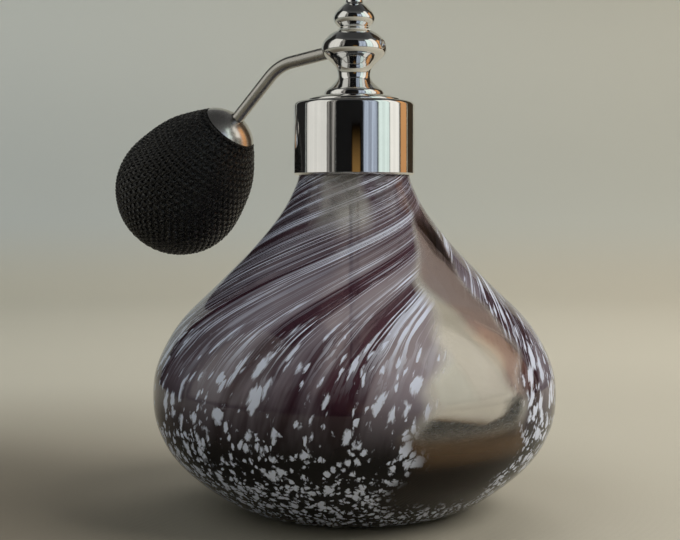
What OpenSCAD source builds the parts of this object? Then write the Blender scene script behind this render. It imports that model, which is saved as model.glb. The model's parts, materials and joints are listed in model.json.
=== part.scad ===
// Bulb perfume atomiser: a blown-glass bottle, a screwed metal collar carrying a turned
// spray head, and a netted rubber squeeze bulb on a bent air tube.
// Frame: millimetres, +Z up, origin at the centre of the bottle's flat base.
// The bulb lies towards -X and the spray leaves towards +X.

/* [Bottle] */
// Largest diameter of the bottle
bottle_d = 92.6; // [88:0.2:96]
// Diameter of the flat base
base_d = 44; // [40:1:46]
// Height where the glass passes under the collar
shoulder_z = 77.2; // [77:0.1:77.4]
// Glass thickness at the widest part of the wall
wall_t = 4.2; // [3:0.2:5]
// Glass thickness at the middle of the base
floor_t = 8; // [6:0.5:9]
// Outer diameter of the glass neck inside the collar
neck_d = 18; // [17.6:0.1:18]
// Diameter of the mouth
mouth_d = 13.6; // [12:0.2:14]

/* [Collar] */
// Outer diameter of the screw cap
cap_d = 27.9; // [27.6:0.1:28.4]
// Height of the screw cap
cap_h = 16.8; // [16.8:0.1:17.2]
// Wall thickness of the screw cap
cap_wall = 0.85; // [0.7:0.05:0.9]
// Thread pitch of the cap
cap_pitch = 1.5; // [1.2:0.1:1.6]

/* [Head] */
// Largest diameter of the turned head
bulge_d = 15; // [14.6:0.1:15.6]
// Diameter of the head's waist
waist_d = 7.4; // [7.2:0.1:8]
// Diameter of the ball at the tip of the finial
tip_d = 5; // [4.2:0.1:6]

/* [Air tube] */
// Outer diameter of the air tube
tube_d = 3; // [2.6:0.1:3]
// Inner diameter of the air tube
tube_bore = 2; // [1.4:0.1:2]
// Slope of the tube where it leaves the head, in degrees
head_slope = 9; // [6:1:12]
// Slope of the tube and bulb after the bend, in degrees
bulb_slope = 45; // [40:1:50]
// Centre-line radius of the bend
bend_r = 11; // [8:1:14]

/* [Bulb] */
// Largest diameter of the netted bulb
bulb_d = 32.2; // [31:0.2:34]
// Length of the netted bulb from its metal cap to the far end
bulb_len = 38; // [37.5:0.1:38.5]
// Thickness of the net
net_t = 1; // [0.8:0.1:1]
// Wall thickness of the rubber bulb
rubber_t = 1.5; // [1.2:0.1:1.6]

/* [Hidden] */
$fn = 96;
eps = 0.01;      // overshoot of a cut past the face it opens
gap = 0.03;      // running and press gap between turned parts

// Heights of the stack inside the collar, from the glass lip upwards
cap_z = 76.7;                      // lower edge of the screw cap
cap_top = cap_z + cap_h;
lip_z = 86.8;                      // top of the glass neck
land_z = 87.6;                     // top of the neck ferrule
gasket_z = 88.6;                   // top of the gasket
flange_z = 89.4;                   // top of the siphon flange
plate_z = 91.6;                    // underside of the shoulder plate's flange
seat_z = 95.1;                     // top of the shoulder plate, where the head sits
tube_z = 106.3;                    // height where the tube and nozzle axes meet the head's axis
head_top = 109.7;

neck_r = neck_d / 2;
mouth_r = mouth_d / 2;
ferrule_r = 10.7;                  // plain barrel of the neck ferrule
thread_r = 11.45;                  // crests of the neck thread
cap_in_r = cap_d / 2 - cap_wall;
cap_open_r = 11.05;                // hole in the top of the cap
boss_r = 10.9;                     // raised boss of the shoulder plate, in that hole
stem_r = 2.1;                      // siphon stem
nipple_r = 1.5;                    // siphon nipple, in the head's spigot
spigot_r = 3.2;                    // head spigot, below the shoulder plate
dip_r = 1.2;                       // dip tube
dip_bore_r = 0.7;

tube_r = tube_d / 2;
bend_x = 20.7;                     // distance of the bend's corner from the head's axis
corner = [-bend_x, 0, tube_z - bend_x * tan(head_slope)];
bend_angle = bulb_slope - head_slope;
bend_tangent = bend_r * tan(bend_angle / 2);
socket_d = 3.4;                    // depth of the tube socket's floor from the head's axis
rim_d = 20;                        // distance of the bulb's metal cap from the bend's corner
dome_r = 6.85;                     // rim radius of that cap
dome_h = 2.9;
dome_t = 0.5;
tube_end = 2.1;                    // where the tube ends, past the rim plane
ball_r = 1;                        // valve balls
chamber_r = 1.35;                  // valve chambers, ending in a 45 degree seat
port_r = 0.55;
ball_gap = 0.06;                   // left between a seated ball and its seat

// Hermite curve through points, with n steps to a span. Slopes are half the chord between neighbours.
function tangent(p, i) =
    i == 0 ? p[1] - p[0] :
    i == len(p) - 1 ? p[i] - p[i - 1] :
    (p[i + 1] - p[i - 1]) / 2;
function hermite(a, b, ta, tb, t) =
    a * (2 * pow(t, 3) - 3 * pow(t, 2) + 1) + ta * (pow(t, 3) - 2 * pow(t, 2) + t)
    + b * (3 * pow(t, 2) - 2 * pow(t, 3)) + tb * (pow(t, 3) - pow(t, 2));
function curve(p, n = 5) = concat(
    [for (i = [0 : len(p) - 2]) for (k = [0 : n - 1])
        hermite(p[i], p[i + 1], tangent(p, i), tangent(p, i + 1), k / n)],
    [p[len(p) - 1]]);
function arc(c, r, from, to, n = 6) = [for (k = [0 : n]) let (a = from + (to - from) * k / n)
    [c[0] + r * cos(a), c[1] + r * sin(a)]];
function reversed(p) = [for (i = [len(p) - 1 : -1 : 0]) p[i]];

// Outline points are [radius, height]
module turned(outline) { rotate_extrude() polygon(outline); }
module ring(r_in, r_out, z0, z1) { turned([[r_in, z0], [r_out, z0], [r_out, z1], [r_in, z1]]); }
module rod(r, z0, z1) { translate([0, 0, z0]) cylinder(r = r, h = z1 - z0); }
// Children drawn along +Z are laid along a tube stretch that falls at the given slope towards -X
module down_slope(slope) { rotate([0, -(90 + slope), 0]) children(); }
module on_head_axis() { translate([0, 0, tube_z]) down_slope(head_slope) children(); }
module on_bulb_axis() { translate(corner) down_slope(bulb_slope) translate([0, 0, rim_d]) children(); }

// ---- Bottle ----
body_r = bottle_d / 2;
base_r = base_d / 2;
outer_points = [[base_r, 0], [27.5, 1.6], [34, 5.6], [41, 11.9], [body_r - 1.2, 19], [body_r, 26.4],
                [body_r - 1.2, 34], [body_r - 6.2, 43], [31.1, 52], [23.2, 60], [16.8, 68],
                [13.6, 74], [12.6, shoulder_z]];
inner_points = [[0, floor_t], [12, floor_t + 0.3], [24, floor_t + 2], [33.5, 14.6],
                [body_r - wall_t - 2, 20.4], [body_r - wall_t, 27],
                [body_r - wall_t - 1.3, 34.4], [body_r - wall_t - 6.6, 43], [26.6, 51.6],
                [19.2, 59.4], [13.2, 67.2], [9.2, 73.4], [mouth_r + 0.6, 78], [mouth_r, 82]];

module glass_bottle() color([0.22, 0.18, 0.22, 0.8])
    turned(concat([[0, 0]], curve(outer_points, 6),
        [[12.2, shoulder_z + 0.3], [neck_r + 0.8, shoulder_z + 0.3]],
        arc([neck_r + 0.8, shoulder_z + 1.1], 0.8, 270, 180, 4),
        arc([neck_r - 0.6, lip_z - 0.6], 0.6, 0, 90, 4),
        arc([mouth_r + 0.6, lip_z - 0.6], 0.6, 90, 180, 4),
        reversed(curve(inner_points, 6))));

// ---- Neck finish ----
thread_turns = 4;
thread_z = 80.2;
ferrule_bore_r = neck_r + 0.3;

// Sawtooth crests, one to each pitch, between a root radius and a crest radius
function crests(root, crest, z0, count) = [for (i = [0 : count - 1])
    for (q = [[root, 0.1], [crest, 0.45], [crest, 0.75], [root, 1.1]])
        [q[0], z0 + i * cap_pitch + q[1] * cap_pitch / 1.2]];

module neck_cement() color("ivory")
    ring(neck_r + 0.02, ferrule_bore_r - 0.02, shoulder_z + 1.3, lip_z - 0.7);

module neck_ferrule() color("silver")
    turned(concat([[ferrule_bore_r, shoulder_z + 0.5], [12.3, shoulder_z + 0.5], [12.3, shoulder_z + 1.7],
                   [ferrule_r, shoulder_z + 1.7]],
        crests(ferrule_r, thread_r, thread_z, thread_turns),
        [[ferrule_r, land_z], [mouth_r + 0.2, land_z], [mouth_r + 0.2, lip_z + 0.05],
         [ferrule_bore_r, lip_z + 0.05]]));

module neck_gasket() color("dimgray") ring(mouth_r + 0.4, 10.4, land_z, gasket_z);

// ---- Siphon ----
stem_low = 72.6;                   // lower end of the siphon stem
nipple_top = 93.8;
dip_low = 10.8;                    // lower end of the dip tube
vent_ring_r = 4.8;                 // pitch radius of the flange's air holes

module siphon_flange() color("silver") difference() {
    turned(concat([[0, stem_low], [stem_r - 0.3, stem_low], [stem_r, stem_low + 0.3],
        [stem_r, gasket_z], [10.2, gasket_z], [10.2, flange_z], [nipple_r, flange_z],
        [nipple_r, nipple_top - 0.3], [nipple_r - 0.3, nipple_top], [0, nipple_top]]));
    rod(dip_r + 0.03, stem_low - 1, 80.2);
    rod(dip_bore_r, 80, nipple_top + 1);
    for (a = [45 : 90 : 315])
        rotate([0, 0, a]) translate([vent_ring_r, 0, 0]) rod(0.6, gasket_z - 1, flange_z + 1);
}

// The foot is cut on the slant so that it can't seal itself against the glass
module dip_tube() color([0.9, 0.93, 0.95, 0.6]) difference() {
    rod(dip_r, dip_low, 80);
    rod(dip_bore_r, dip_low - 1, 81);
    translate([0, 0, dip_low]) rotate([0, 40, 0]) translate([-4, -4, -6]) cube([8, 8, 6]);
}

// ---- Screw cap ----
washer_z = plate_z + 0.8;
lip_under_z = cap_top - 0.8;

module slip_washer() color("white") ring(11.2, 12.6, washer_z, washer_z + 0.25);

module cap_shell() color("gainsboro")
    turned(concat([[cap_in_r, cap_z + 0.2], [cap_in_r + 0.2, cap_z], [cap_d / 2 - 0.45, cap_z],
                   [cap_d / 2, cap_z + 0.45]],
        arc([cap_d / 2 - 1, cap_top - 1], 1, 0, 90),
        [[cap_open_r + 0.15, cap_top], [cap_open_r, cap_top - 0.15], [cap_open_r, lip_under_z],
         [cap_in_r, lip_under_z]]));

insert_r = 11.6;                   // crests of the cap's thread, clear of the neck's
module cap_insert() color("darkgray")
    turned(concat([[cap_in_r - gap, shoulder_z + 1.9], [cap_in_r - gap, plate_z - 0.3],
                   [insert_r, plate_z - 0.3]],
        reversed(crests(insert_r, insert_r + 0.5, thread_z - 0.4, thread_turns + 1)),
        [[insert_r, shoulder_z + 1.9]]));

// ---- Spray head ----
module shoulder_plate() color("gainsboro")
    turned([[spigot_r + gap, plate_z], [8.5, plate_z], [8.5, flange_z + 0.05], [10.3, flange_z + 0.05],
            [10.3, plate_z], [12.7, plate_z], [12.7, washer_z - 0.05], [boss_r, washer_z - 0.05],
            [boss_r, 93.75], [boss_r - 0.2, 94.1], [boss_r - 0.75, 94.38], [8.6, 94.8], [7.2, 95.05],
            [7, seat_z], [spigot_r + gap, seat_z]]);

module head_nut() color("goldenrod") difference() {
    translate([0, 0, flange_z + 0.4]) cylinder(d = 11, h = 1.7, $fn = 6);
    rod(spigot_r + gap, flange_z, plate_z);
}

head_points = [[6.9, seat_z + 0.45], [6.6, 96.1], [5.6, 96.9], [4.6, 97.8], [waist_d / 2 + 0.2, 98.7],
               [waist_d / 2, 99.6], [waist_d / 2 + 0.15, 100.6], [4.35, 101.6], [5.15, 102.5],
               [6.15, 103.4], [bulge_d / 2 - 0.4, 104.4], [bulge_d / 2, 105.5],
               [bulge_d / 2 - 0.25, 106.9], [6.4, 108.1], [5.4, 109.0], [4.5, 109.5], [4.1, head_top]];
liquid_bore_r = 0.6;
air_bore_r = 0.95;
air_vent_x = -2.68;                // air hole down to the bottle, beside the siphon bore
nozzle_r = 1.1;

module head_body() color("gainsboro") difference() {
    turned(concat([[0, flange_z + 0.2], [spigot_r - 0.2, flange_z + 0.2], [spigot_r, flange_z + 0.4],
                   [spigot_r, seat_z + 0.02], [6.9, seat_z + 0.02]],
        curve(head_points, 5), [[0, head_top]]));
    rod(nipple_r + gap, flange_z, nipple_top + 0.4);
    rod(2.15, 90.4, 91.6);
    rod(liquid_bore_r, nipple_top, tube_z);
    rod(1.5, 107.7, head_top + 1);
    translate([air_vent_x, 0, 0]) rod(0.28, flange_z, 105.9);
    on_head_axis() rod(air_bore_r, -0.5, socket_d + eps);
    on_head_axis() rod(tube_r + 0.01, socket_d, bulge_d);
    translate([0, 0, tube_z]) rotate([0, 90, 0]) rod(air_bore_r, -0.3, 5.5);
    translate([0, 0, tube_z]) rotate([0, 90, 0]) rod(nozzle_r + 0.01, 5, bulge_d);
}

module stem_o_ring() color("dimgray")
    translate([0, 0, 91]) rotate_extrude() translate([1.84, 0]) circle(r = 0.28, $fn = 32);

// Screw-in spray orifice, almost flush with the head
module nozzle_tip() color("silver")
    translate([0, 0, tube_z]) rotate([0, 90, 0])
        turned([[0.75, 5], [nozzle_r, 5], [nozzle_r, 7.45], [0.95, 7.6], [0.7, 7.6], [0.42, 7.25],
                [0.3, 7.2], [0.3, 6.8], [0.75, 6.4]]);

// Elbow that carries the scent through the middle of the air passage to the orifice
module liquid_jet() color("goldenrod") difference() {
    union() {
        rod(liquid_bore_r - 0.01, 102.6, tube_z);
        translate([0, 0, tube_z]) sphere(r = liquid_bore_r - 0.01, $fn = 48);
        translate([0, 0, tube_z]) rotate([0, 90, 0]) rod(0.4, 0, 6.4);
    }
    rod(0.25, 102, tube_z);
    translate([0, 0, tube_z]) rotate([0, 90, 0]) rod(0.2, 0, 7);
}

// ---- Air tube ----
// The bend is a hair thicker in the wall than the straights, whose ends lie just inside it
swage = 0.005;
swage_lap = 0.05;
module tube_section(t = 0) difference() {
    circle(r = tube_r - t);
    circle(r = tube_bore / 2 + t);
}
module bend() {
    start = corner + bend_tangent * [cos(head_slope), 0, sin(head_slope)];
    translate(start) rotate([0, -head_slope, 0]) translate([0, 0, -bend_r]) rotate([90, 0, 0])
        rotate([0, 0, 90]) rotate_extrude(angle = bend_angle) translate([bend_r, 0]) tube_section();
}
module air_tube() color("darkgray") {
    head_end = socket_d + 0.05;
    on_head_axis() translate([0, 0, head_end])
        linear_extrude(bend_x / cos(head_slope) - bend_tangent + swage_lap - head_end) tube_section(swage);
    bend();
    translate(corner) down_slope(bulb_slope) translate([0, 0, bend_tangent - swage_lap])
        linear_extrude(rim_d + tube_end - bend_tangent + swage_lap) tube_section(swage);
}

// ---- Finial ----
finial_z = head_top + 0.3;
stem_top = 118.4;
finial_points = [[3.6, finial_z], [3.38, 110.4], [3.85, 110.95], [4.5, 111.7], [4.77, 112.6],
                 [4.45, 113.6], [3.93, 114.3], [2.86, 115.4], [2.1, 116], [1.92, 116.6],
                 [1.92, 117.6], [2.15, stem_top]];
tip_z = stem_top + tip_d / 2 + 0.2;

module finial_washer() color("white") ring(1.6, 3.75, head_top, finial_z - 0.01);

module finial() color("gainsboro")
    turned(concat([[0, 107.9], [1.25, 107.9], [1.46, 108.1], [1.46, finial_z]],
        curve(finial_points, 5), [[2.3, stem_top + 0.25], [1.7, stem_top + 0.6]],
        arc([0, tip_z], tip_d / 2, -48, 90, 12)));

// ---- Squeeze bulb, drawn along its own axis with the metal cap's rim at height 0 ----
bulb_r = bulb_d / 2;
net_points = [[dome_r + 0.35, 0.5], [9.9, 4], [bulb_r - 3.1, 9], [bulb_r - 1.1, 15], [bulb_r, 22],
              [bulb_r - 1.3, 28.4], [bulb_r - 5, 33.6], [bulb_r - 9.6, 36.6], [0, bulb_len],
              [9.6 - bulb_r, 36.6]];
net_hem_r = 4.75;                  // opening of the net round the rubber neck
rubber_neck_r = 3.8;
nipple_barb_r = 2.6;
intake_r = 2.8;
boss_z = 32.6;                     // inner end of the thick rubber boss round the intake valve
curve_n = 5;

// A closed outline moved inwards by t, square to the curve
function inward(p, t) = [for (i = [0 : len(p) - 1]) let (
    d = p[min(i + 1, len(p) - 1)] - p[max(i - 1, 0)],
    u = d / norm(d)) [max(p[i][0] - t * u[1], 0), p[i][1] + t * u[0]]];
// The net's outside, up to the axis, as rubber and net share its shape
net_round = curve(net_points, curve_n);
net_curve = [for (i = [0 : len(net_round) - 1 - curve_n]) net_round[i]];

// Chamber of a ball valve: it opens at its low end through stop_ports and seats the ball at its high end
module valve_chamber(seat_z, low_z) {
    rod(chamber_r, low_z, seat_z);
    translate([0, 0, seat_z - eps]) cylinder(r1 = chamber_r, r2 = port_r, h = chamber_r - port_r);
}
// Four ports that pass air round a ball resting on the chamber's low end
module stop_ports(from, to) {
    for (a = [0 : 90 : 270]) rotate([0, 0, a]) translate([0.75, 0, 0]) rod(0.4, from, to);
}
// Centre of a ball that all but touches the 45 degree seat
function seated(seat_z) = seat_z + chamber_r - ball_r * sqrt(2) - ball_gap;
outlet_seat_z = 4.4;
intake_seat_z = 34.4;

module bulb_ferrule() color("silver") on_bulb_axis() {
    sphere_r = (pow(dome_r, 2) + pow(dome_h, 2)) / (2 * dome_h);
    centre = sphere_r - dome_h;
    hole_r = tube_r + 0.2;
    steps = 14;
    turned(concat(
        [for (k = [0 : steps]) let (r = hole_r + (dome_r - hole_r) * k / steps)
            [r, centre - sqrt(pow(sphere_r, 2) - r * r)]],
        [[dome_r - 0.1, 0.12], [dome_r - dome_t, 0.12]],
        [for (k = [steps : -1 : 0]) let (r = hole_r + (dome_r - dome_t - hole_r) * k / steps)
            [r, centre - sqrt(pow(sphere_r - dome_t, 2) - r * r)]]));
}

module bulb_nipple() color("goldenrod") on_bulb_axis() difference() {
    turned([[0, 6.2], [1.9, 6.2], [nipple_barb_r, 4.6], [2.2, 4.6], [2.2, 3.4], [nipple_barb_r, 2.2],
            [nipple_barb_r, -1.2], [2.9, -1.2], [2.9, -1.7], [0, -1.7]]);
    rod(tube_r + gap, -3, tube_end + 0.1);
    valve_chamber(outlet_seat_z, outlet_seat_z - 1.7);
    stop_ports(1, outlet_seat_z - 1.6);
    rod(port_r, outlet_seat_z, 7);
}

module clamp_ring() color("silver") on_bulb_axis() ring(rubber_neck_r + 0.02, 4.35, -0.8, 0.05);

module net_drawcord() color("black") on_bulb_axis()
    translate([0, 0, 0.62]) rotate_extrude() translate([4.27, 0]) circle(r = 0.38, $fn = 24);

module rubber_bulb() color([0.12, 0.12, 0.12]) on_bulb_axis() {
    outer = inward(net_curve, net_t + 0.03);
    inner = inward(net_curve, net_t + rubber_t);
    last = len(outer) - 1;
    keep = [for (i = [2 : last]) if (outer[i][0] > intake_r + 0.3) outer[i]];
    hollow = [for (i = [4 : last]) if (inner[i][0] > 5.2) inner[i]];
    turned(concat(
        [[nipple_barb_r + 0.02, -1.1], [rubber_neck_r, -1.1], [rubber_neck_r, 1.4], [4.75, 1.5]],
        keep, [[intake_r + 0.02, keep[len(keep) - 1][1]], [intake_r + 0.02, boss_z], [4.9, boss_z]],
        reversed(hollow), [[nipple_barb_r + 0.9, 3.4], [nipple_barb_r + 0.02, 3.2]]));
}

module bulb_net() color("black") on_bulb_axis() {
    inner = inward(net_curve, net_t);
    turned(concat([[net_hem_r, 0.25], [dome_r, 0.2]], net_curve,
        [[0, bulb_len - net_t]], reversed([for (i = [2 : len(inner) - 2]) inner[i]]),
        [[net_hem_r, 1.25]]));
}

// ---- Valves ----
module outlet_ball() color("silver") on_bulb_axis()
    translate([0, 0, seated(outlet_seat_z)]) sphere(r = ball_r);

intake_z = 36.3;                   // outer end of the intake valve
module intake_valve() color("goldenrod") on_bulb_axis() difference() {
    turned([[0, 31], [3.5, 31], [3.5, 31.7], [intake_r, 32.4], [intake_r, intake_z], [0, intake_z]]);
    valve_chamber(intake_seat_z, intake_seat_z - 1.7);
    stop_ports(30, intake_seat_z - 1.6);
    rod(port_r, intake_seat_z, 36);
    rod(2.2, 35.7, intake_z + 1);
}
module intake_screen() color("silver") on_bulb_axis() difference() {
    rod(2.17, 35.75, 36.2);
    for (a = [0 : 60 : 300]) rotate([0, 0, a]) translate([1.2, 0, 0]) rod(0.3, 35, 37);
}
module intake_ball() color("silver") on_bulb_axis()
    translate([0, 0, seated(intake_seat_z)]) sphere(r = ball_r);

glass_bottle();
neck_cement();
neck_ferrule();
neck_gasket();
siphon_flange();
dip_tube();
slip_washer();
cap_shell();
cap_insert();
shoulder_plate();
head_nut();
head_body();
stem_o_ring();
nozzle_tip();
liquid_jet();
air_tube();
finial_washer();
finial();
bulb_ferrule();
bulb_nipple();
clamp_ring();
net_drawcord();
rubber_bulb();
bulb_net();
outlet_ball();
intake_valve();
intake_screen();
intake_ball();
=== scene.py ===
"""Looks of the bulb perfume atomiser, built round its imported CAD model. Metres, +Z up."""
import json
import math

import bmesh
import bpy
import numpy as np
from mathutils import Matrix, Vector


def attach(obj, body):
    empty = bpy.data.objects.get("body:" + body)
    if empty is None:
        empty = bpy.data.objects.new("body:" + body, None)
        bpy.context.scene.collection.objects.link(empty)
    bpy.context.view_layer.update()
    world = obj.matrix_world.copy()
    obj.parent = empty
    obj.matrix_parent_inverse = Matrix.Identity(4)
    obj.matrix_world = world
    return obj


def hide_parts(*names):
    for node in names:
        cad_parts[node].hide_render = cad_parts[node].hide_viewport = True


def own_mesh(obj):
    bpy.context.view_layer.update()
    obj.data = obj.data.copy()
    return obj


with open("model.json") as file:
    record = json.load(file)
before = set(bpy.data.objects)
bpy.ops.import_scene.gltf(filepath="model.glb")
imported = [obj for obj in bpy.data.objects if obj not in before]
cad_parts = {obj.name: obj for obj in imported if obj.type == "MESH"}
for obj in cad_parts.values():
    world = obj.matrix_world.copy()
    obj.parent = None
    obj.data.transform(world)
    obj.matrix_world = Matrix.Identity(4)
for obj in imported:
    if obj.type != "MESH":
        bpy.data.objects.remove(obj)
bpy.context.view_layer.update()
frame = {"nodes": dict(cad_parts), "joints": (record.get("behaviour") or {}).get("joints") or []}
scene = bpy.context.scene
MM = 0.001


# ---------------------------------------------------------------- places, from the frame
def joint(name):
    return next(j for j in frame["joints"] if j["name"] == name)


def unit(v):
    v = np.asarray(v, float)
    return v / np.linalg.norm(v)


RIM = np.array(joint("bulb_spin")["pos_m"])       # centre of the bulb's metal cap, at its rim
BULB_AXIS = unit(joint("bulb_spin")["axis"])      # from the rim to the bulb's far end
CAMERA_AZIMUTH = math.radians(30)                 # the camera's place, round from -Y towards +X
CAMERA_SIDE = CAMERA_AZIMUTH - math.pi / 2        # the same place, round from +X
VIEW_RIGHT = (math.cos(CAMERA_AZIMUTH), math.sin(CAMERA_AZIMUTH), 0)      # to the right in the picture
VIEW_DEEP = (-math.sin(CAMERA_AZIMUTH), math.cos(CAMERA_AZIMUTH), 0)      # away from the camera


# ---------------------------------------------------------------- mesh building
def mesh_object(name, verts, faces, smooth=True):
    mesh = bpy.data.meshes.new(name)
    mesh.from_pydata([tuple(v) for v in verts], [], faces)
    mesh.validate()
    mesh.update()
    if smooth:
        mesh.polygons.foreach_set("use_smooth", [True] * len(mesh.polygons))
    obj = bpy.data.objects.new(name, mesh)
    scene.collection.objects.link(obj)
    return obj


def finish_piece(obj, body, slot, material, *nodes):
    """Gives a piece its materials, the body it rides on and the CAD nodes it stands for; slot is not used.
    """
    materials = material if isinstance(material, (list, tuple)) else [material]
    obj.data.materials.clear()
    for m in materials:
        obj.data.materials.append(m)
    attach(obj, body)
    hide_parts(*nodes)
    return obj


def add_attribute(obj, name, values):
    """Stores one number or one vector a vertex, for the materials to read."""
    values = np.asarray(values, np.float32)
    kind, key = ("FLOAT_VECTOR", "vector") if values.ndim == 2 else ("FLOAT", "value")
    layer = obj.data.attributes.new(name, kind, "POINT")
    layer.data.foreach_set(key, values.ravel())


def outline(node, origin=(0, 0, 0), axis=(0, 0, 1)):
    """The (radius, distance along the axis) points of a turned CAD node, in order round its section.
    An open section starts and ends where it meets the axis or a flat disc."""
    same_point = 4e-6
    mesh = frame["nodes"][node].data
    co = np.array([v.co for v in mesh.vertices], float) - np.asarray(origin, float)
    along = co @ np.asarray(axis, float)
    radius = np.linalg.norm(co - along[:, None] * np.asarray(axis, float), axis=1)
    rough, index = np.unique(np.round(np.stack([radius, along], 1), 6), axis=0, return_inverse=True)
    same = np.linalg.norm(rough[:, None] - rough[None], axis=2) < same_point
    ring = same.argmax(1)[index.ravel()]
    links = {}
    for edge in mesh.edges:
        a, b = (int(ring[v]) for v in edge.vertices)
        if a != b:
            links.setdefault(a, set()).add(b)
            links.setdefault(b, set()).add(a)
    ends = [k for k, v in links.items() if len(v) == 1]
    start = min(ends or links, key=lambda k: (rough[k][1], -rough[k][0]))
    path = [start]
    while True:
        onward = [k for k in links[path[-1]] if k not in path]
        if not onward:
            return rough[path]
        path.append(onward[0])


def dense(path, spacing):
    """Points at an even spacing along a (radius, height) path, through a smooth curve."""
    path = np.asarray(path, float)
    step = np.linalg.norm(np.diff(path, axis=0), axis=1)
    s = np.concatenate([[0], np.cumsum(step)])
    n = max(int(round(s[-1] / spacing)), 2)
    at = np.linspace(0, s[-1], n + 1)
    slope = np.gradient(path, s, axis=0)
    k = np.clip(np.searchsorted(s, at, side="right") - 1, 0, len(s) - 2)
    h = s[k + 1] - s[k]
    t = ((at - s[k]) / h)[:, None]
    h = h[:, None]
    return ((2 * t**3 - 3 * t**2 + 1) * path[k] + (t**3 - 2 * t**2 + t) * h * slope[k]
            + (3 * t**2 - 2 * t**3) * path[k + 1] + (t**3 - t**2) * h * slope[k + 1])


def lathe(name, path, segments, wobble):
    """Turns a (radius, height) path round the Z axis. A point on the axis becomes one vertex.
    Also returns, for each vertex, its point of the path and its angle."""
    on_axis = 1e-6
    verts, rings, at = [], [], []
    for i, (r, h) in enumerate(path):
        if r < on_axis:
            rings.append([len(verts)] * segments)
            verts.append((0.0, 0.0, h))
            at.append((i, 0.0))
            continue
        rings.append(list(range(len(verts), len(verts) + segments)))
        for k in range(segments):
            a = k * 2 * math.pi / segments
            grown = r + wobble(a, h)
            verts.append((grown * math.cos(a), grown * math.sin(a), h))
            at.append((i, a))
    faces = []
    for low, high in zip(rings, rings[1:]):
        for k in range(segments):
            j = (k + 1) % segments
            faces.append(list(dict.fromkeys([low[k], low[j], high[j], high[k]])))
    for ring in (rings[0][::-1], rings[-1]):
        if len(set(ring)) > 1:
            faces.append(ring)
    return mesh_object(name, verts, faces), at


def dressed(node, bevel=0.0):
    """A clean copy of a CAD node: welded, flat faces joined up, smooth up to an angle, edges rounded when a
    bevel is given.
    """
    weld = 2e-6
    flat = math.radians(0.4)
    sharp = math.radians(32)
    work = bmesh.new()
    work.from_mesh(frame["nodes"][node].data)
    bmesh.ops.remove_doubles(work, verts=work.verts, dist=weld)
    bmesh.ops.dissolve_limit(work, angle_limit=flat, verts=work.verts, edges=work.edges)
    for face in work.faces:
        face.smooth = True
    for edge in work.edges:
        edge.smooth = len(edge.link_faces) == 2 and edge.calc_face_angle(0) < sharp
    copy = bpy.data.meshes.new(node + "_look")
    work.to_mesh(copy)
    work.free()
    obj = bpy.data.objects.new(node + "_look", copy)
    scene.collection.objects.link(obj)
    if bevel:
        mod = obj.modifiers.new("edges", "BEVEL")
        mod.width = bevel
        mod.segments = 3
        mod.limit_method = "ANGLE"
        mod.angle_limit = sharp
        mod.harden_normals = True
    return obj


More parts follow.
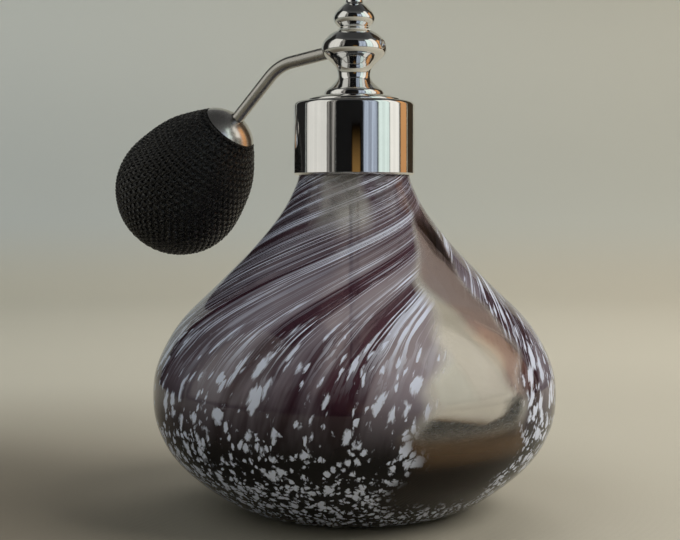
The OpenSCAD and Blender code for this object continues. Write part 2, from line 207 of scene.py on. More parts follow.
# ---------------------------------------------------------------- materials
class Graph:
    """A material's nodes. Each method adds one node and returns its output."""

    def __init__(self, name):
        self.material = bpy.data.materials.new(name)
        self.material.use_nodes = True
        self.tree = self.material.node_tree
        self.tree.nodes.clear()
        self.shader = self.node("ShaderNodeBsdfPrincipled")
        self.output = self.node("ShaderNodeOutputMaterial")
        self.tree.links.new(self.shader.outputs["BSDF"], self.output.inputs["Surface"])

    def node(self, kind, **settings):
        n = self.tree.nodes.new(kind)
        for key, value in settings.items():
            setattr(n, key, value)
        return n

    def feed(self, socket, value):
        if isinstance(value, bpy.types.NodeSocket):
            self.tree.links.new(value, socket)
        elif value is not None:
            socket.default_value = value

    def set(self, **values):
        """Sets the shader's sockets, such as base_color or roughness, to constants or outputs."""
        odd_names = {"ior": "IOR", "specular_ior_level": "Specular IOR Level"}
        for key, value in values.items():
            name = odd_names.get(key, key.replace("_", " ").title())
            self.feed(self.shader.inputs[name], value)

    def attribute(self, name, vector=False):
        n = self.node("ShaderNodeAttribute", attribute_name=name)
        return n.outputs["Vector" if vector else "Fac"]

    def place(self):
        return self.node("ShaderNodeTexCoord").outputs["Object"]

    def scaled(self, vector, factors, shift=(0, 0, 0)):
        n = self.node("ShaderNodeMapping")
        self.feed(n.inputs["Vector"], vector)
        n.inputs["Scale"].default_value = factors
        n.inputs["Location"].default_value = shift
        return n.outputs["Vector"]

    def parts(self, vector):
        """The X, Y and Z of a vector."""
        n = self.node("ShaderNodeSeparateXYZ")
        self.feed(n.inputs[0], vector)
        return n.outputs

    def noise(self, vector, scale=1.0, detail=2.0, roughness=0.5, color=False):
        n = self.node("ShaderNodeTexNoise")
        self.feed(n.inputs["Vector"], vector)
        n.inputs["Scale"].default_value = scale
        n.inputs["Detail"].default_value = detail
        n.inputs["Roughness"].default_value = roughness
        return n.outputs["Color" if color else "Fac"]

    def cells(self, vector):
        """Distance to the nearest scattered point, and that point's own random colour."""
        n = self.node("ShaderNodeTexVoronoi")
        self.feed(n.inputs["Vector"], vector)
        n.inputs["Scale"].default_value = 1.0
        return n.outputs["Distance"], n.outputs["Color"]

    def math(self, op, a, b=None, clamp=False):
        n = self.node("ShaderNodeMath", operation=op, use_clamp=clamp)
        for socket, value in zip(n.inputs, (a, b)):
            self.feed(socket, value)
        return n.outputs[0]

    def times(self, *factors):
        """The product of outputs and numbers."""
        product = factors[0]
        for factor in factors[1:]:
            product = self.math("MULTIPLY", product, factor)
        return product

    def ramp(self, value, low, high, to_low=0.0, to_high=1.0, smooth=True):
        """Maps low..high to to_low..to_high and holds beyond."""
        n = self.node("ShaderNodeMapRange", interpolation_type="SMOOTHSTEP" if smooth else "LINEAR")
        for socket, v in zip(n.inputs, (value, low, high, to_low, to_high)):
            self.feed(socket, v)
        return n.outputs[0]

    def mix(self, factor, a, b):
        """A colour between a and b."""
        n = self.node("ShaderNodeMix", data_type="RGBA")
        for socket, v in zip((n.inputs[0], n.inputs[6], n.inputs[7]), (factor, a, b)):
            self.feed(socket, v)
        return n.outputs[2]

    def blend(self, factor, a, b):
        """A number between a and b."""
        n = self.node("ShaderNodeMix", data_type="FLOAT")
        for socket, v in zip([s for s in n.inputs if s.enabled], (factor, a, b)):
            self.feed(socket, v)
        return n.outputs[0]

    def add_vectors(self, a, b, scale_b=1.0):
        n = self.node("ShaderNodeVectorMath", operation="MULTIPLY_ADD")
        self.feed(n.inputs[0], b)
        n.inputs[1].default_value = (scale_b,) * 3
        self.feed(n.inputs[2], a)
        return n.outputs[0]

    def bump(self, height, distance, strength):
        n = self.node("ShaderNodeBump")
        n.inputs["Strength"].default_value = strength
        n.inputs["Distance"].default_value = distance
        self.feed(n.inputs["Height"], height)
        self.feed(self.shader.inputs["Normal"], n.outputs["Normal"])


def shaded(color, share=1.0):
    """A colour with its alpha, darkened to a share of itself."""
    return tuple(c * share for c in color) + (1,)


def metal(name, color, roughness, spread=0.05, grain=(1, 1, 1), grain_scale=900, depth=0.000004,
          tarnish=0.04):
    """Plated or turned metal: smudges in the gloss, faint tool or polish marks, slow colour changes."""
    g = Graph(name)
    smudge = g.noise(g.place(), 90, 4, 0.6)
    fine = g.noise(g.scaled(g.place(), grain), grain_scale, 3, 0.6)
    tone = g.ramp(g.noise(g.place(), 160, 3), 0.35, 0.7)
    g.set(metallic=1.0,
          base_color=g.mix(tone, shaded(color, 1 - tarnish * 2), shaded(color)),
          roughness=g.ramp(smudge, 0.3, 0.75, roughness, roughness + spread))
    g.bump(fine, depth, 0.6)
    return g.material


def plastic(name, color, roughness, depth=0.00002, transmission=None):
    """Rubber, plastic or plaster: slow colour changes, and a fine speckle in gloss and relief."""
    g = Graph(name)
    speck = g.noise(g.place(), 1400, 3, 0.6)
    cloud = g.ramp(g.noise(g.place(), 180, 3), 0.3, 0.7)
    g.set(base_color=g.mix(cloud, shaded(color, 0.86), shaded(color)),
          roughness=g.ramp(speck, 0.3, 0.7, roughness * 0.85, roughness * 1.15))
    if transmission:
        g.set(transmission_weight=transmission, ior=1.45)
    g.bump(speck, depth, 0.5)
    return g.material


GLASS_IOR = 1.5


def clear_glass():
    """The clear glass of the neck and the inside, fire-polished, with faint ripples."""
    g = Graph("clear_glass")
    ripple = g.noise(g.scaled(g.place(), (1, 1, 0.6)), 70, 2, 0.45)
    cloud = g.ramp(ripple, 0.3, 0.8)
    g.set(base_color=g.mix(cloud, (0.88, 0.86, 0.88, 1), (0.97, 0.96, 0.97, 1)),
          roughness=0.0, transmission_weight=1.0, ior=GLASS_IOR)
    g.bump(ripple, 0.0002, 0.3)
    return g.material


FROST = (0.68, 0.73, 0.90, 1)          # the white chips, slightly blue
SMOKE = (0.31, 0.262, 0.32, 1)         # milky veil between the threads
PLUM = (0.055, 0.020, 0.034, 1)        # the purple that shows through the veil
SOOT = (0.0030, 0.0022, 0.0030, 1)     # the ground between the chips near the base
UMBER = (0.009, 0.0045, 0.0022, 1)     # the bare brown patch under the window
HONEY = (0.20, 0.115, 0.055, 1)        # the brown thinning out at the window's foot
MAUVE = (0.42, 0.28, 0.30, 1)          # the tinted band down the window's right side
PANE = (0.98, 0.97, 0.94, 1)           # the window itself


def colour_casing():
    """The coloured skin of the bottle. White chips lie thick near the base, stretch as the glass was drawn
    out, and end as threads swept round the neck over smoky purple.
    flow is the glass before it was drawn and twisted, in millimetres; rise runs from 0 at the base to 1
    at the neck; clear is 1 in the windows that have no chips, and behind is 1 in the one at the back, which
    reaches lower; thick is 1 in the crowded strip beside the front window; veil_painted_shade thins the
    veil on the camera's left side, a painted shade there, and mauve is 1 in the tinted band of the front
    window."""
    g = Graph("colour_casing")
    flow = g.attribute("flow", vector=True)
    rise = g.attribute("rise")
    clear = g.attribute("clear")
    lower_behind = 0.14
    bare_rise = g.math("ADD", rise, g.times(g.attribute("behind"), lower_behind))
    bent = g.add_vectors(flow, g.noise(flow, 0.30, 2, 0.5, color=True), 2.4)

    def chips(size, low, high, shift, presence):
        """Scattered chips: presence sets how many there are, low..high how much of a cell each fills."""
        ragged_by, soft_edge, fade_in = 0.75, 0.22, 0.04
        place = g.scaled(bent, (1 / size,) * 3, shift)
        distance, color = g.cells(place)
        ragged = g.math("SUBTRACT", g.noise(place, 2.6, 2, 0.6), 0.5)
        near = g.math("ADD", distance, g.times(ragged, ragged_by))
        picked = g.node("ShaderNodeSeparateColor")
        g.feed(picked.inputs[0], color)
        size_of = g.ramp(picked.outputs[0], 0, 1, low, high, smooth=False)
        shape = g.ramp(near, size_of, g.math("SUBTRACT", size_of, soft_edge))
        there = g.ramp(picked.outputs[1], presence, g.math("SUBTRACT", presence, fade_in))
        return g.times(shape, there)

    # How many chips there are: most in a belt near the base, in clumps, and in the strip by the window
    clump = g.ramp(g.noise(g.scaled(flow, (1, 1, 1.6)), 0.10, 3, 0.6), 0.38, 0.62)
    low_belt = g.ramp(rise, 0.50, 0.42)
    middle = g.times(g.ramp(rise, 0.42, 0.50), g.ramp(rise, 0.70, 0.58))
    belts = g.math("ADD", g.times(low_belt, 1.15), g.times(middle, 0.52))
    many = g.times(belts, g.math("ADD", 0.36, g.times(clump, 0.80)))
    many = g.math("ADD", many, g.times(g.attribute("thick"), 0.40))
    large = chips(2.2, 0.24, 0.60, (3.1, 0.7, 5.2), many)
    small = chips(1.15, 0.26, 0.64, (9.4, 2.2, 1.7), many)

    # Fine threads and broad streaks swept round the upper half, in bands
    fine = g.noise(g.scaled(bent, (1.15, 1.15, 0.10)), 1.0, 3, 0.65)
    broad = g.noise(g.scaled(bent, (0.42, 0.42, 0.07), (5, 3, 8)), 1.0, 3, 0.6)
    banding = g.noise(g.scaled(flow, (0.13, 0.13, 0.05), (4, 8, 2)), 1.0, 2, 0.5)
    bands = g.ramp(banding, 0.40, 0.62)
    threads = g.times(g.ramp(fine, 0.515, 0.585), g.math("ADD", 0.22, g.times(bands, 0.78)))
    streaks = g.times(g.ramp(broad, 0.56, 0.61), bands)
    swept = g.times(g.ramp(rise, 0.52, 0.66), g.math("MAXIMUM", threads, streaks))
    fleck = g.math("MAXIMUM", g.math("MAXIMUM", large, small), swept)
    fleck = g.math("MULTIPLY", fleck, g.math("SUBTRACT", 1.0, clear), clamp=True)

    # The ground between them: black near the base, purple under a milky veil above, bare in the windows
    haze = g.noise(g.scaled(flow, (0.12, 0.12, 0.045)), 1.0, 4, 0.6)
    # Painted shade: the veil is thinned on the camera's left side, so the glass shows darker purple there
    milk = g.times(g.ramp(haze, 0.38, 0.58), g.ramp(rise, 0.74, 0.86, 1.0, 0.30), g.attribute("veil_painted_shade"))
    ground = g.mix(g.ramp(rise, 0.42, 0.60), SOOT, g.mix(milk, PLUM, SMOKE))
    bare = g.mix(g.ramp(bare_rise, 0.40, 0.46), UMBER, HONEY)
    bare = g.mix(g.ramp(bare_rise, 0.455, 0.505), bare, PANE)
    bare = g.mix(g.attribute("mauve"), bare, MAUVE)
    ground = g.mix(clear, ground, bare)

    # How much light it lets by
    veil_passes = g.times(g.ramp(rise, 0.44, 0.64, 0.0, 0.42), g.ramp(haze, 0.35, 0.65, 0.8, 1.15))
    passes = g.blend(clear, veil_passes, g.ramp(bare_rise, 0.40, 0.49, 0.06, 1.0))
    lets_by = g.math("MULTIPLY", passes, g.math("SUBTRACT", 1.0, fleck), clamp=True)
    ripple = g.noise(g.scaled(g.place(), (1, 1, 0.6)), 70, 3, 0.5)
    g.set(base_color=g.mix(fleck, ground, FROST), transmission_weight=lets_by,
          roughness=g.ramp(ripple, 0.40, 0.75, 0.0, 0.04), ior=GLASS_IOR, specular_ior_level=0.27)
    g.bump(g.math("ADD", ripple, g.times(fleck, 0.03)), 0.0003, 0.4)
    return g.material


def yarn():
    """Black mercerised thread: two plies twisted together, with a soft shine and a little lint."""
    g = Graph("net_yarn")
    twist, plies = 5200.0, 2.0
    turned = g.math("ADD", g.times(g.attribute("along"), twist), g.times(g.attribute("around"), plies))
    lint = g.noise(g.place(), 2600, 3, 0.65)
    black = g.mix(g.ramp(lint, 0.45, 0.8), (0.0022, 0.0022, 0.0026, 1), (0.007, 0.007, 0.009, 1))
    g.set(base_color=black, roughness=g.ramp(lint, 0.3, 0.7, 0.18, 0.32), specular_ior_level=0.60,
          sheen_weight=0.03, sheen_roughness=0.4)
    g.bump(g.math("SINE", turned), 0.00005, 0.6)
    return g.material


CHROME = metal("chrome", (0.74, 0.74, 0.74), 0.03, 0.05, grain_scale=2600, depth=0.0000022, tarnish=0.02)
NICKEL = metal("satin_nickel", (0.44, 0.43, 0.41), 0.22, 0.08, grain_scale=1500)
SILVER = metal("satin_silver", (0.76, 0.74, 0.72), 0.20, 0.08, grain_scale=1200)
PLATED = metal("plated_inner", (0.62, 0.62, 0.63), 0.14, 0.10)
BRASS = metal("turned_brass", (0.72, 0.53, 0.26), 0.22, 0.12, grain=(0.3, 0.3, 3), depth=0.000006)
STEEL = metal("steel", (0.58, 0.58, 0.60), 0.16, 0.06)
SEAL = plastic("seal_rubber", (0.035, 0.035, 0.035), 0.62)
RUBBER = plastic("bulb_rubber", (0.012, 0.012, 0.013), 0.55, 0.00003)
NYLON = plastic("white_nylon", (0.80, 0.80, 0.77), 0.42)
PLASTER = plastic("neck_plaster", (0.62, 0.58, 0.49), 0.85, 0.00006)
TUBING = plastic("clear_tubing", (0.92, 0.94, 0.95), 0.06, transmission=1.0)
CLEAR = clear_glass()
CASING = colour_casing()
YARN = yarn()

# ---------------------------------------------------------------- glass
glass_path = outline("glass_bottle")
top = int(glass_path[:, 1].argmax())
NECK_Z = 77.2 * MM                        # where the coloured body ends, under the collar
neck_start = next(i for i, p in enumerate(glass_path) if p[1] > NECK_Z)
base_radius = glass_path[1][0]
base_disc = np.array([[r, 0.0] for r in np.linspace(0, base_radius, 12)[:-1]])
wall = dense(glass_path[1:neck_start], 1.1 * MM)
skin = np.vstack([base_disc, wall])       # the coloured outside, from the middle of the base to the neck
lip = glass_path[neck_start:top + 4]
inside = dense(glass_path[top + 4:], 1.3 * MM)


def hand_blown(angle, height):
    """The slight unevenness of a bottle shaped by hand, fading out at the base and the neck."""
    depth = 0.16 * MM
    above_base = min(max((height - 0.004) / 0.012, 0), 1)
    below_neck = min(max((0.070 - height) / 0.02, 0), 1)
    wave = (math.sin(2 * angle + 0.6 + 18 * height) * 0.5 + math.sin(3 * angle + 2.1 - 55 * height) * 0.3
            + math.sin(5 * angle + 4.0 + 90 * height) * 0.2)
    return depth * above_base * below_neck * wave


BOTTLE_SIDES = 208
bottle, bottle_at = lathe("bottle_glass", np.vstack([skin, lip, inside]), BOTTLE_SIDES, hand_blown)

# The glass before it was drawn out and twisted: how far round and how far up each point came from
step = np.linalg.norm(np.diff(skin, axis=0), axis=1)
arc = np.concatenate([[0], np.cumsum(step)])
rise = arc / arc[-1]
# STAGES are shares of the way to the neck, TWIST is the distance round per distance up, and DRAW is how
# little the glass was stretched.
STAGES = [0, 0.38, 0.49, 0.62, 0.80, 1.0]
TWIST = np.interp(rise, STAGES, [0.0, 0.0, 0.20, 0.60, 1.45, 2.5])
DRAW = np.interp(rise, STAGES, [1.0, 0.90, 0.45, 0.22, 0.12, 0.08])
round_at = np.maximum((skin[1:, 0] + skin[:-1, 0]) / 2, 0.012)
turn = np.concatenate([[0], np.cumsum(step * (TWIST[1:] + TWIST[:-1]) / 2 / round_at)])
drawn = np.concatenate([[0], np.cumsum(step * (DRAW[1:] + DRAW[:-1]) / 2)]) / MM
FLOW_RADIUS = 40.0                        # millimetres


def soft_step(x, low, high):
    t = min(max((x - low) / (high - low), 0), 1)
    return t * t * (3 - 2 * t)


def wrapped(a):
    return (a + math.pi) % (2 * math.pi) - math.pi


# The front window's outline: its sides in degrees round from the camera side, at heights in millimetres.
# A mauve band fills it from MAUVE_LEFT to its right side.
WINDOW_HEIGHTS = [12, 24, 30, 41, 50, 59, 68]
WINDOW_LEFT = [10, 15, 22, 23, 28, 35, 48]
WINDOW_RIGHT = [47, 50, 52, 51, 52, 60, 75]
MAUVE_LEFT = [60, 60, 50, 40, 33, 33, 46]
BACK_WINDOW = math.radians(148)           # the middle of the window behind, round from the camera side


def window_at(angle, height):
    """How far a point lies inside the patches without chips (at the front, behind and under the collar),
    inside the one behind and inside the crowded strip beside the front one, how much of the veil stays
    (less on the camera's left side, a painted shade), and how far the point lies inside the mauve band."""
    ripple = 2.5 * math.sin(height * 260) + 1.5 * math.sin(height * 610)
    front = math.degrees(wrapped(angle - CAMERA_SIDE)) + ripple
    left = np.interp(height / MM, WINDOW_HEIGHTS, WINDOW_LEFT)
    right = np.interp(height / MM, WINDOW_HEIGHTS, WINDOW_RIGHT)
    edge = np.interp(height / MM, WINDOW_HEIGHTS, MAUVE_LEFT)
    here = soft_step(front, left - 4, left + 4) * (1 - soft_step(front, right - 3, right + 3))
    mauve = here * soft_step(front, edge - 2.5, edge + 2.5)
    behind = math.degrees(wrapped(angle - CAMERA_SIDE - BACK_WINDOW)) + ripple
    above_base = soft_step(height, 0.004, 0.009)
    there = soft_step(behind, -50, -38) * (1 - soft_step(behind, 38, 52)) * above_base
    body = max(here, there) * above_base * (1 - soft_step(height, 0.064, 0.076))
    collar = soft_step(front, -34, -24) * (1 - soft_step(front, 2, 14)) * soft_step(height, 0.062, 0.070)
    crowded = soft_step(front, right - 2, right + 4) * (1 - soft_step(front, right + 42, right + 64))
    crowded *= soft_step(height, 0.012, 0.020) * (1 - soft_step(height, 0.045, 0.060))
    # Painted shade: less of the milky veil on the camera's left side, so the glass shows darker there
    veil_painted_shade = 1 - 0.55 * (1 - soft_step(front, -58, -34))
    return max(body, 0.6 * collar), there, crowded, veil_painted_shade, mauve


flow, rises, windows = [], [], []
for i, a in bottle_at:
    k = min(i, len(skin) - 1)
    u = a - turn[k]
    flow.append((FLOW_RADIUS * math.cos(u), FLOW_RADIUS * math.sin(u), drawn[k]))
    rises.append(rise[k])
    windows.append(window_at(a, skin[k][1]))
add_attribute(bottle, "flow", flow)
add_attribute(bottle, "rise", rises)
for name, values in zip(("clear", "behind", "thick", "veil_painted_shade", "mauve"), zip(*windows)):
    add_attribute(bottle, name, values)
finish_piece(bottle, "bottle", "glass", [CASING, CLEAR], "glass_bottle")
for face in bottle.data.polygons:
    coloured = max(bottle_at[v][0] for v in face.vertices) < len(skin)
    face.material_index = 0 if coloured else 1

# ---------------------------------------------------------------- net
net_path = outline("bulb_net", RIM, BULB_AXIS)
tip = int(net_path[:, 1].argmax())
skins = net_path[:tip + 1], net_path[tip:][::-1]       # both run from the mouth to the far end
net_outer = max(skins, key=lambda skin_path: skin_path[:, 0].max())
widest = net_outer[:, 0].max()


def crochet(name, meridian):
    """A net worked in a spiral of knit loops over a turned shape. The meridian runs from the mouth to the
    far end. Rows lie closer at the mouth, and stitches are dropped as the shape narrows at the far end."""
    yarn_r = 0.31 * MM
    row_pitch = 1.5 * MM
    stitches_round = 52
    per_stitch = 12
    sides = 5
    length = np.concatenate([[0], np.cumsum(np.linalg.norm(np.diff(meridian, axis=0), axis=1))])
    total = length[-1]
    rows = [0.5 * MM]
    while rows[-1] < total - 1.2 * MM:
        squeeze = min(1.0, 0.66 + 0.34 * rows[-1] / (9 * MM))
        rows.append(rows[-1] + row_pitch * squeeze)
    side = unit(np.cross([0, 1, 0], BULB_AXIS))
    other = np.cross(BULB_AXIS, side)
    centre, outward = [], []
    for k in range(len(rows) - 1):
        r_here = float(np.interp(rows[k], length, meridian[:, 0]))
        far = rows[k] > total * 0.5
        share = 1.0 if not far or r_here > 0.62 * widest else (0.5 if r_here > 0.30 * widest else 0.25)
        count = int(stitches_round * share)
        t = np.arange(count * per_stitch) / per_stitch
        swing = 0.5 * (k % 2)
        u = 2 * math.pi * (t + swing)
        pitch_angle = 2 * math.pi / count
        squeeze = (rows[k + 1] - rows[k]) / row_pitch
        s = rows[k] + (rows[k + 1] - rows[k]) * t / count + 0.62 * row_pitch * squeeze * np.cos(u)
        s = np.clip(s, 0.15 * MM, total - 0.02 * MM)
        theta = t * pitch_angle + 0.27 * pitch_angle * np.sin(2 * u)
        r = np.interp(s, length, meridian[:, 0])
        h = np.interp(s, length, meridian[:, 1])
        ahead, back = np.minimum(s + 0.5 * MM, total), np.maximum(s - 0.5 * MM, 0)
        dr = np.interp(ahead, length, meridian[:, 0]) - np.interp(back, length, meridian[:, 0])
        dh = np.interp(ahead, length, meridian[:, 1]) - np.interp(back, length, meridian[:, 1])
        norm = np.maximum(np.hypot(dr, dh), 1e-9)
        round_dir = np.cos(theta)[:, None] * side + np.sin(theta)[:, None] * other
        normal = (dh / norm)[:, None] * round_dir - (dr / norm)[:, None] * BULB_AXIS
        depth = -0.42 * MM + 0.22 * MM * np.cos(2 * u) + 0.10 * MM * np.sin(u)
        centre.append(RIM + r[:, None] * round_dir + h[:, None] * BULB_AXIS + depth[:, None] * normal)
        outward.append(normal)
    centre, outward = np.vstack(centre), np.vstack(outward)
    along = np.gradient(centre, axis=0)
    along /= np.linalg.norm(along, axis=1)[:, None]
    up = outward - along * (along * outward).sum(1)[:, None]
    up /= np.maximum(np.linalg.norm(up, axis=1), 1e-9)[:, None]
    across = np.cross(along, up)
    ring = np.arange(sides) * 2 * math.pi / sides
    verts = (centre[:, None] + yarn_r * (np.cos(ring)[None, :, None] * up[:, None]
                                         + np.sin(ring)[None, :, None] * across[:, None])).reshape(-1, 3)
    n = len(centre)
    i = np.arange(n - 1)[:, None] * sides
    k = np.arange(sides)[None, :]
    j = (k + 1) % sides
    quads = np.stack([i + k, i + j, i + sides + j, i + sides + k], -1).reshape(-1, 4)
    faces = quads.tolist() + [list(range(sides))[::-1], list(range((n - 1) * sides, n * sides))]
    obj = mesh_object(name, verts, faces)
    run = np.concatenate([[0], np.cumsum(np.linalg.norm(np.diff(centre, axis=0), axis=1))])
    add_attribute(obj, "along", np.repeat(run, sides))
    add_attribute(obj, "around", np.tile(ring, n))
    return obj


net = crochet("crocheted_net", net_outer)
finish_piece(net, "bulb", "net_yarn", YARN, "bulb_net")

# ---------------------------------------------------------------- metal, rubber and plastic
PLATE_BEVEL = 0.05 * MM
PIECES = (
    ("cap_shell", "cap", "chrome", CHROME),
    ("shoulder_plate", "head", "chrome", CHROME),
    ("head_body", "head", "chrome", CHROME),
    ("finial", "finial", "chrome", CHROME),
    ("bulb_ferrule", "bulb", "satin_silver", SILVER),
    ("nozzle_tip", "head", "plated_inner", PLATED),
    ("neck_ferrule", "bottle", "brass", PLATED),
    ("cap_insert", "cap", "plated_inner", PLATED),
    ("siphon_flange", "siphon", "plated_inner", PLATED),
    ("head_nut", "head", "brass", BRASS),
    ("liquid_jet", "head", "brass", BRASS),
    ("bulb_nipple", "bulb", "brass", BRASS),
    ("clamp_ring", "bulb", "satin_silver", SILVER),
    ("intake_valve", "valve", "brass", BRASS),
    ("intake_screen", "valve", "steel", STEEL),
    ("outlet_ball", "outlet_ball", "steel", STEEL),
    ("intake_ball", "intake_ball", "steel", STEEL),
    ("neck_gasket", "siphon", "seal_rubber", SEAL),
    ("stem_o_ring", "head", "seal_rubber", SEAL),
    ("slip_washer", "washer", "white_plastic", NYLON),
    ("finial_washer", "finial_seat", "white_plastic", NYLON),
    ("neck_cement", "bottle", "cement", PLASTER),
    ("dip_tube", "siphon", "clear_plastic", TUBING),
    ("net_drawcord", "bulb", "net_yarn", RUBBER),
    ("rubber_bulb", "bulb", "bulb_rubber", RUBBER),
    ("air_tube", "head", "satin_nickel", NICKEL),
)
looks = {}
for node, body, slot, material in PIECES:
    bevel = PLATE_BEVEL if node == "shoulder_plate" else 0.0
    looks[node] = finish_piece(dressed(node, bevel), body, slot, material, node)
for piece in (looks["rubber_bulb"], net):
    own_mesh(piece)

# ---------------------------------------------------------------- stage, lights and camera
ROOM_RADIUS = 0.62
ROOM_WALL = 0.95
ROOM_HEIGHT = 0.9
CARD_HEIGHT = 0.85
BOARD_DISTANCE = 0.58
CARD_DISTANCE = 0.60
BOARD_FOOT = 0.01                         # the mirrored boards stop just short of the floor


def studio_sweep():
    """A round floor that curves up into a wall all the way round: the same backdrop in every view."""
    corner = ROOM_WALL - ROOM_RADIUS
    profile = [(r, 0.0) for r in np.linspace(0.05, ROOM_RADIUS, 12)]
    profile += [(ROOM_RADIUS + corner * math.sin(a), corner * (1 - math.cos(a)))
                for a in np.linspace(0.08, math.pi / 2, 20)]
    profile += [(ROOM_WALL, ROOM_HEIGHT)]
    verts, faces, around = [], [], 96
    for r, z in profile:
        verts += [(r * math.cos(2 * math.pi * k / around), r * math.sin(2 * math.pi * k / around), z)
                  for k in range(around)]
    for i in range(len(profile) - 1):
        for k in range(around):
            j = (k + 1) % around
            faces.append([i * around + k, (i + 1) * around + k, (i + 1) * around + j, i * around + j])
    faces.append(list(range(around)))
    return mesh_object("studio_sweep", verts, faces)


def backdrop():
    """Pale card whose floor is covered in a plain ribbed cloth. Painted light makes the wall and cloth
    cooler to the left, warmer and lighter to the right, and the wall lighter higher up; a painted shadow
    lies on the cloth to the left of the bottle.
    """
    g = Graph("pale_backdrop")
    place = g.place()

    def distance_along(direction):
        n = g.node("ShaderNodeVectorMath", operation="DOT_PRODUCT")
        g.feed(n.inputs[0], place)
        n.inputs[1].default_value = direction
        return n.outputs["Value"]

    across, deep = distance_along(VIEW_RIGHT), distance_along(VIEW_DEEP)
    height = g.parts(place)["Z"]
    # Painted light: wall and cloth lighter and warmer to the right, cooler to the left, and the wall
    # lighter higher up, as if lit from the right
    to_right = g.ramp(across, -0.5, 0.5)
    wall = g.mix(to_right, (0.575, 0.615, 0.62, 1), (0.64, 0.63, 0.56, 1))
    painted_lit_wall_top = g.mix(to_right, (0.70, 0.74, 0.74, 1), (0.78, 0.76, 0.68, 1))
    wall = g.mix(g.ramp(height, 0.07, 0.26), wall, painted_lit_wall_top)
    cloth = g.mix(to_right, (0.60, 0.585, 0.51, 1), (0.65, 0.60, 0.50, 1))
    # A painted shadow on the cloth, to the left of the bottle
    shade = g.node("ShaderNodeVectorMath", operation="DISTANCE")
    g.feed(shade.inputs[0], place)
    shade.inputs[1].default_value = [-0.12 * r - 0.02 * d for r, d in zip(VIEW_RIGHT, VIEW_DEEP)]
    cloth = g.mix(g.ramp(shade.outputs["Value"], 0.02, 0.23), (0.23, 0.20, 0.158, 1), cloth)
    tone = g.mix(g.ramp(height, 0.0, 0.06), cloth, wall)

    rib_pitch = 1.1 * MM
    slant = g.math("ADD", g.times(across, 0.55), deep)
    ribs = g.math("SINE", g.times(slant, 2 * math.pi / rib_pitch))
    thread = g.noise(place, 2200, 2, 0.5)
    weave = g.math("ADD", g.times(ribs, 0.5), thread)
    close = g.times(g.ramp(deep, 0.30, 0.12), g.ramp(height, 0.03, 0.0))
    groove = g.times(g.ramp(weave, 1.3, -0.4), close, 0.22)
    g.set(base_color=g.mix(groove, tone, (0.20, 0.18, 0.15, 1)), roughness=0.9, specular_ior_level=0.2)
    g.bump(g.times(weave, close), 0.00012, 0.35)
    return g.material


room = studio_sweep()
room.data.materials.append(backdrop())

CAMERA_DISTANCE = 0.2925
CAMERA_HEIGHT = 0.0705
CAMERA_PITCH = 0.0537
CAMERA_YAW = 0.0111
FOCAL_LENGTH = 1262.6 / 680               # as a share of the picture's width
SENSOR_WIDTH = 36
toward = Vector((math.sin(CAMERA_AZIMUTH), -math.cos(CAMERA_AZIMUTH), 0))
camera = bpy.data.objects.new("camera", bpy.data.cameras.new("camera"))
camera.data.sensor_width = SENSOR_WIDTH
camera.data.lens = FOCAL_LENGTH * SENSOR_WIDTH
camera.data.clip_start = 0.01
camera.location = toward * CAMERA_DISTANCE + Vector((0, 0, CAMERA_HEIGHT))
camera.rotation_euler = (math.pi / 2 - CAMERA_PITCH, 0, CAMERA_AZIMUTH + CAMERA_YAW)
scene.collection.objects.link(camera)
scene.camera = camera


def stand(obj, bearing, distance):
    """Stands a board round the object, facing it. Its bearing is in degrees to the right of the camera."""
    angle = math.radians(bearing) + CAMERA_AZIMUTH
    obj.location = (math.sin(angle) * distance, -math.cos(angle) * distance, 0)
    obj.rotation_euler = (0, 0, angle)


def mirrored_panel(name, bearing, width, high, radiance, color, dark=0.75, streak=0.0):
    """A glowing board that only mirrors and glass see. It fades at its edges and down to `dark` of its
    brightness near the floor, with upright streaks."""
    half = width / 2
    corners = [(-half, 0, BOARD_FOOT), (half, 0, BOARD_FOOT), (half, 0, high), (-half, 0, high)]
    board = mesh_object(name, corners, [[0, 1, 2, 3]], smooth=False)
    stand(board, bearing, BOARD_DISTANCE)
    g = Graph(name + "_glow")
    place = g.parts(g.place())
    off, up = g.math("ABSOLUTE", place["X"]), place["Z"]
    fade = g.times(g.ramp(off, half, half * 0.72), g.ramp(up, BOARD_FOOT, BOARD_FOOT + 0.06),
                   g.ramp(up, high, high - 0.10), g.ramp(up, 0.05, 0.45, dark, 1.0))
    lines = g.noise(g.scaled(g.place(), (1, 1, 0.05)), 38, 3, 0.6)
    g.tree.nodes.remove(g.shader)
    glow = g.node("ShaderNodeEmission")
    glow.inputs["Color"].default_value = (*color, 1)
    streaks = g.ramp(lines, 0.40, 0.62, 1.0 - streak, 1.0)
    g.feed(glow.inputs["Strength"], g.times(fade, streaks, radiance))
    g.tree.links.new(glow.outputs[0], g.output.inputs["Surface"])
    board.data.materials.append(g.material)
    board.visible_camera = board.visible_diffuse = board.visible_shadow = False


def soft_box(name, bearing, elevation, distance, size, watts, color):
    """A lamp that lights matt surfaces and stays out of the mirrors."""
    light = bpy.data.lights.new(name, "AREA")
    light.shape, light.size, light.energy, light.color = "DISK", size, watts, color
    lamp = bpy.data.objects.new(name, light)
    angle, lift = math.radians(bearing) + CAMERA_AZIMUTH, math.radians(elevation)
    lamp.location = Vector((math.sin(angle) * math.cos(lift), -math.cos(angle) * math.cos(lift),
                            math.sin(lift))) * distance
    lamp.rotation_euler = (-lamp.location).to_track_quat("-Z", "Y").to_euler()
    lamp.visible_camera = lamp.visible_glossy = lamp.visible_transmission = False
    scene.collection.objects.link(lamp)


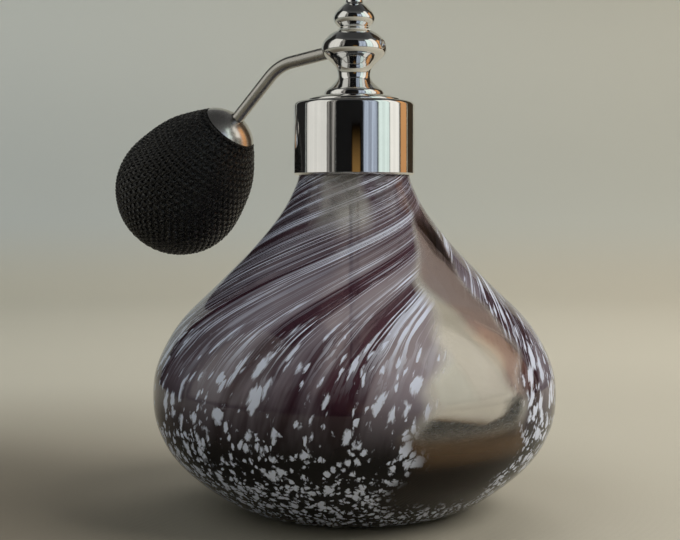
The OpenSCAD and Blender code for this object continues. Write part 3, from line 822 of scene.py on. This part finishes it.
def dark_card(name, bearing, width, color):
    """A dark board that only mirrors and glass see."""
    half = width / 2
    corners = [(-half, 0, 0), (half, 0, 0), (half, 0, CARD_HEIGHT), (-half, 0, CARD_HEIGHT)]
    card = mesh_object(name, corners, [[0, 1, 2, 3]], smooth=False)
    stand(card, bearing, CARD_DISTANCE)
    card.visible_camera = card.visible_diffuse = card.visible_shadow = False
    g = Graph(name + "_paint")
    grain = g.ramp(g.noise(g.place(), 12, 3), 0.3, 0.7)
    g.set(base_color=g.mix(grain, shaded(color, 0.7), shaded(color)), roughness=0.9)
    card.data.materials.append(g.material)


mirrored_panel("left_window", -75, 0.60, 0.95, 0.90, (1.0, 0.98, 0.90), dark=1.0, streak=0.10)
mirrored_panel("left_slits", -43, 0.18, 0.90, 0.50, (1.0, 0.95, 0.86), streak=0.9)
mirrored_panel("brown_door", 4, 0.17, 0.175, 0.46, (0.75, 0.42, 0.13))
mirrored_panel("right_cool", 31, 0.32, 0.60, 0.85, (0.74, 0.84, 1.0), dark=0.9, streak=0.45)
mirrored_panel("right_window", 58, 0.28, 0.80, 1.20, (0.86, 1.0, 0.93), dark=0.9, streak=0.15)
mirrored_panel("right_cream", 82, 0.28, 0.90, 1.20, (1.0, 0.97, 0.88), dark=0.95, streak=0.10)
mirrored_panel("warm_strip", 107, 0.22, 0.60, 0.90, (1.0, 0.50, 0.20))
dark_card("black_card", -9, 0.56, (0.004, 0.004, 0.006))
dark_card("left_dark_card", -122, 0.38, (0.02, 0.02, 0.022))
dark_card("right_brown_card", 135, 0.31, (0.07, 0.045, 0.025))
soft_box("key", 75, 42, 0.85, 0.55, 4.3, (1.0, 0.97, 0.90))
soft_box("fill", -70, 55, 0.90, 0.70, 1.0, (0.90, 0.96, 1.0))
soft_box("back_light", 160, 50, 0.85, 0.60, 1.8, (1.0, 0.98, 0.94))

world = bpy.data.worlds.new("studio_air")
world.use_nodes = True
air = world.node_tree
air_height = air.nodes.new("ShaderNodeSeparateXYZ")
air.links.new(air.nodes.new("ShaderNodeTexCoord").outputs["Generated"], air_height.inputs[0])
air_fade = air.nodes.new("ShaderNodeMapRange")
for socket, value in zip(list(air_fade.inputs)[1:], (0.25, 0.95, 0.32, 0.06)):
    socket.default_value = value
air.links.new(air_height.outputs["Z"], air_fade.inputs["Value"])
air.links.new(air_fade.outputs[0], air.nodes["Background"].inputs[1])
air.nodes["Background"].inputs[0].default_value = (0.80, 0.80, 0.78, 1)
scene.world = world
scene.view_settings.view_transform = "Standard"
scene.cycles.max_bounces = 20
scene.cycles.transmission_bounces = 16
scene.cycles.transparent_max_bounces = 24
scene.cycles.glossy_bounces = 8
